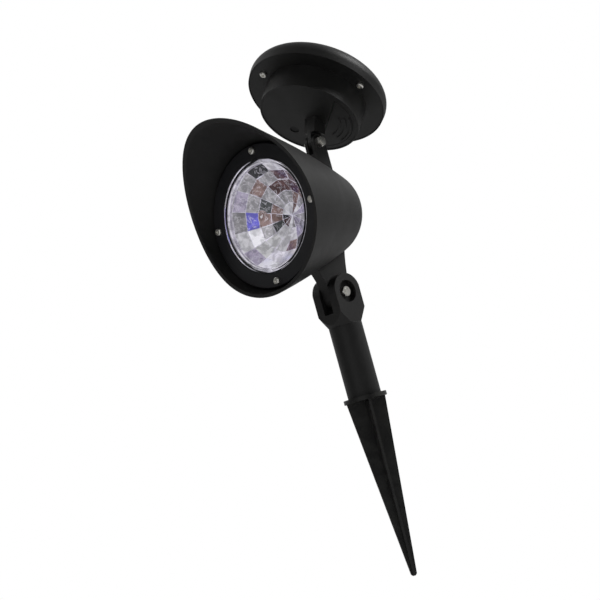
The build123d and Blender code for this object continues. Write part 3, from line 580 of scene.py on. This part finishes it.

# %% [markdown]
# ## The bright edge of the cover
# The clear cover turns back along its rim, and that thick edge gathers light into several bright
# lines. Here those lines are painted highlights on a short stepped ring just inside the cover's wall.
# A profile of small steps is spun once round the lamp's axis, which gives the closed ring directly.
# Two painted tints, a pale highlight and a greyer lavender shade, alternate up the ring and keep its
# lines apart, and the ring takes the facets' finish, so it glows faintly as well.

# %% Stepped edge ring
RING_INNER, RING_OUTER = 0.03690, 0.03775
RING_FOOT, RING_TOP, RING_STEPS = -0.0056, -0.0020, 4
TREAD, STEP_BACK = 0.00035, 0.0001
# Painted highlight and painted shade for the bands of the stepped ring.
LINE_PAINTED_SHADE, LINE_PAINTED_HIGHLIGHT = (0.42, 0.39, 0.48, 1.0), (0.98, 0.97, 0.99, 1.0)
LINES_PER_STEP = 2.5
pitch = (RING_TOP - RING_FOOT) / RING_STEPS
steps = [(RING_OUTER, RING_FOOT), (RING_INNER, RING_FOOT)]
for i in range(RING_STEPS):
    foot, inner = RING_FOOT + i * pitch, RING_INNER + STEP_BACK * i
    steps += [(inner, foot + 0.45 * pitch), (inner + TREAD, foot + 0.6 * pitch),
              (inner + TREAD, foot + 0.9 * pitch)]
steps.append((RING_OUTER, RING_TOP))
edge = bmesh.new()
corners = [edge.verts.new((x, 0.0, w)) for x, w in steps]
wires = [edge.edges.new((a, b)) for a, b in zip(corners, corners[1:] + corners[:1])]
bmesh.ops.spin(edge, geom=corners + wires, cent=(0, 0, 0), axis=(0, 0, 1), dvec=(0, 0, 0),
               angle=2 * math.pi, steps=128, use_merge=True, use_duplicate=False)
bmesh.ops.recalc_face_normals(edge, faces=edge.faces)
# Bands of painted highlight and painted shade, alternating by height up the ring.
painted_light_layer = edge.loops.layers.float_color.new("painted_light")
for face in edge.faces:
    rise = (face.calc_center_median().z - RING_FOOT) / pitch
    for loop in face.loops:
        loop[painted_light_layer] = LINE_PAINTED_SHADE if int(rise * LINES_PER_STEP) % 2 else LINE_PAINTED_HIGHLIGHT
bmesh.ops.transform(edge, matrix=HEAD, verts=edge.verts)
edge_ring = new_piece("cover_edge_ring", edge, "head")
edge_ring.data.materials.append(facet_finish)

# %% [markdown]
# ## Floor and backdrop
# A plain pale floor lies just under the spike's tip. The camera looks slightly up from below the
# collar, so the floor meets the backdrop low in the frame. Both are the same even white to the
# eye, and to the light the floor is an ordinary pale matt surface.

# %% Floor
FLOOR_HEIGHT = cad_box[0][2] - 0.002
floor_shape = bmesh.new()
bmesh.ops.create_grid(floor_shape, x_segments=1, y_segments=1, size=8.0)
bmesh.ops.translate(floor_shape, verts=floor_shape.verts, vec=(0, 0, FLOOR_HEIGHT))
floor_mesh = bpy.data.meshes.new("floor")
floor_shape.to_mesh(floor_mesh)
floor_shape.free()
floor = bpy.data.objects.new("floor", floor_mesh)
bpy.context.scene.collection.objects.link(floor)
pale, tree, shader = finish_of("pale_floor")
shader.inputs["Base Color"].default_value = (0.8, 0.8, 0.8, 1.0)
shader.inputs["Roughness"].default_value = 0.9
shader.inputs["Specular IOR Level"].default_value = 0.0
seen = add_node(tree, "ShaderNodeLightPath", (-300, 300))
plain = add_node(tree, "ShaderNodeEmission", (-300, -200))
pick = add_node(tree, "ShaderNodeMixShader", (300, 100))
tree.links.new(seen.outputs["Is Camera Ray"], pick.inputs["Fac"])
tree.links.new(shader.outputs["BSDF"], pick.inputs[1])
tree.links.new(plain.outputs["Emission"], pick.inputs[2])
tree.links.new(pick.outputs["Shader"], tree.nodes["Material Output"].inputs["Surface"])
floor_mesh.materials.append(pale)
print("floor at", round(FLOOR_HEIGHT, 4))

# %% [markdown]
# ## Backdrop light
# The lamp stands before a bright sweep, and the room on the near side is dim. So the world is white
# to the eye, bright behind the lamp and dark in front of it. Black plastic then stays black where it
# is seen square on, and its edges pick up the soft grey sheen of the sweep.

# %% World
world = bpy.data.worlds.new("studio")
bpy.context.scene.world = world
world.use_nodes = True
tree = world.node_tree
dim = tree.nodes["Background"]
dim.inputs["Color"].default_value = (1.0, 1.0, 1.0, 1.0)
way = add_node(tree, "ShaderNodeTexCoord", (-1000, 0))
facing = add_node(tree, "ShaderNodeVectorMath", (-800, 0), operation="DOT_PRODUCT")
facing.inputs[1].default_value = tuple(-CAMERA_BACK)
sweep = add_node(tree, "ShaderNodeMapRange", (-600, 0))
for socket, value in (("From Min", -0.3), ("From Max", 0.9), ("To Min", 0.03), ("To Max", 0.60)):
    sweep.inputs[socket].default_value = value
tree.links.new(way.outputs["Generated"], facing.inputs[0])
tree.links.new(facing.outputs["Value"], sweep.inputs["Value"])
tree.links.new(sweep.outputs["Result"], dim.inputs["Strength"])
white = add_node(tree, "ShaderNodeBackground", (0, -200))
white.inputs["Color"].default_value = (1.0, 1.0, 1.0, 1.0)
seen = add_node(tree, "ShaderNodeLightPath", (-300, 200))
pick = add_node(tree, "ShaderNodeMixShader", (300, 0))
tree.links.new(seen.outputs["Is Camera Ray"], pick.inputs["Fac"])
tree.links.new(dim.outputs["Background"], pick.inputs[1])
tree.links.new(white.outputs["Background"], pick.inputs[2])
tree.links.new(pick.outputs["Shader"], tree.nodes["World Output"].inputs["Surface"])
bpy.context.scene.view_settings.view_transform = "Standard"
print("world ready")

# %% [markdown]
# ## Soft boxes
# A square box high on the right, a little behind, shapes the round back, the tube and the disc's
# rim. A larger, weaker one from the left front opens the bezel and gives the lens its flashes, and a
# narrow one from the far left, also a little behind, draws the hood's edge.


# %% Lights
LIT_MIDDLE = Vector((0.0, -0.02, 0.08))


def soft_box(name, direction, distance, size, power):
    data = bpy.data.lights.new(name, "AREA")
    data.shape, data.size, data.size_y, data.energy = "RECTANGLE", size[0], size[1], power
    lamp = bpy.data.objects.new(name, data)
    across, up, back = direction
    away = (CAMERA_RIGHT * across + CAMERA_UP * up + CAMERA_BACK * back).normalized()
    facing = away.to_track_quat("Z", "Y").to_matrix().to_4x4()
    lamp.matrix_world = Matrix.Translation(LIT_MIDDLE + away * distance) @ facing
    bpy.context.scene.collection.objects.link(lamp)
    return lamp


soft_box("key_box", (0.72, 0.90, -0.15), 1.3, (0.6, 0.6), 9.0)
soft_box("front_box", (-0.45, 0.40, 0.85), 1.6, (1.3, 1.3), 5.0)
soft_box("left_box", (-0.85, 0.45, -0.30), 1.4, (0.4, 0.8), 1.5)
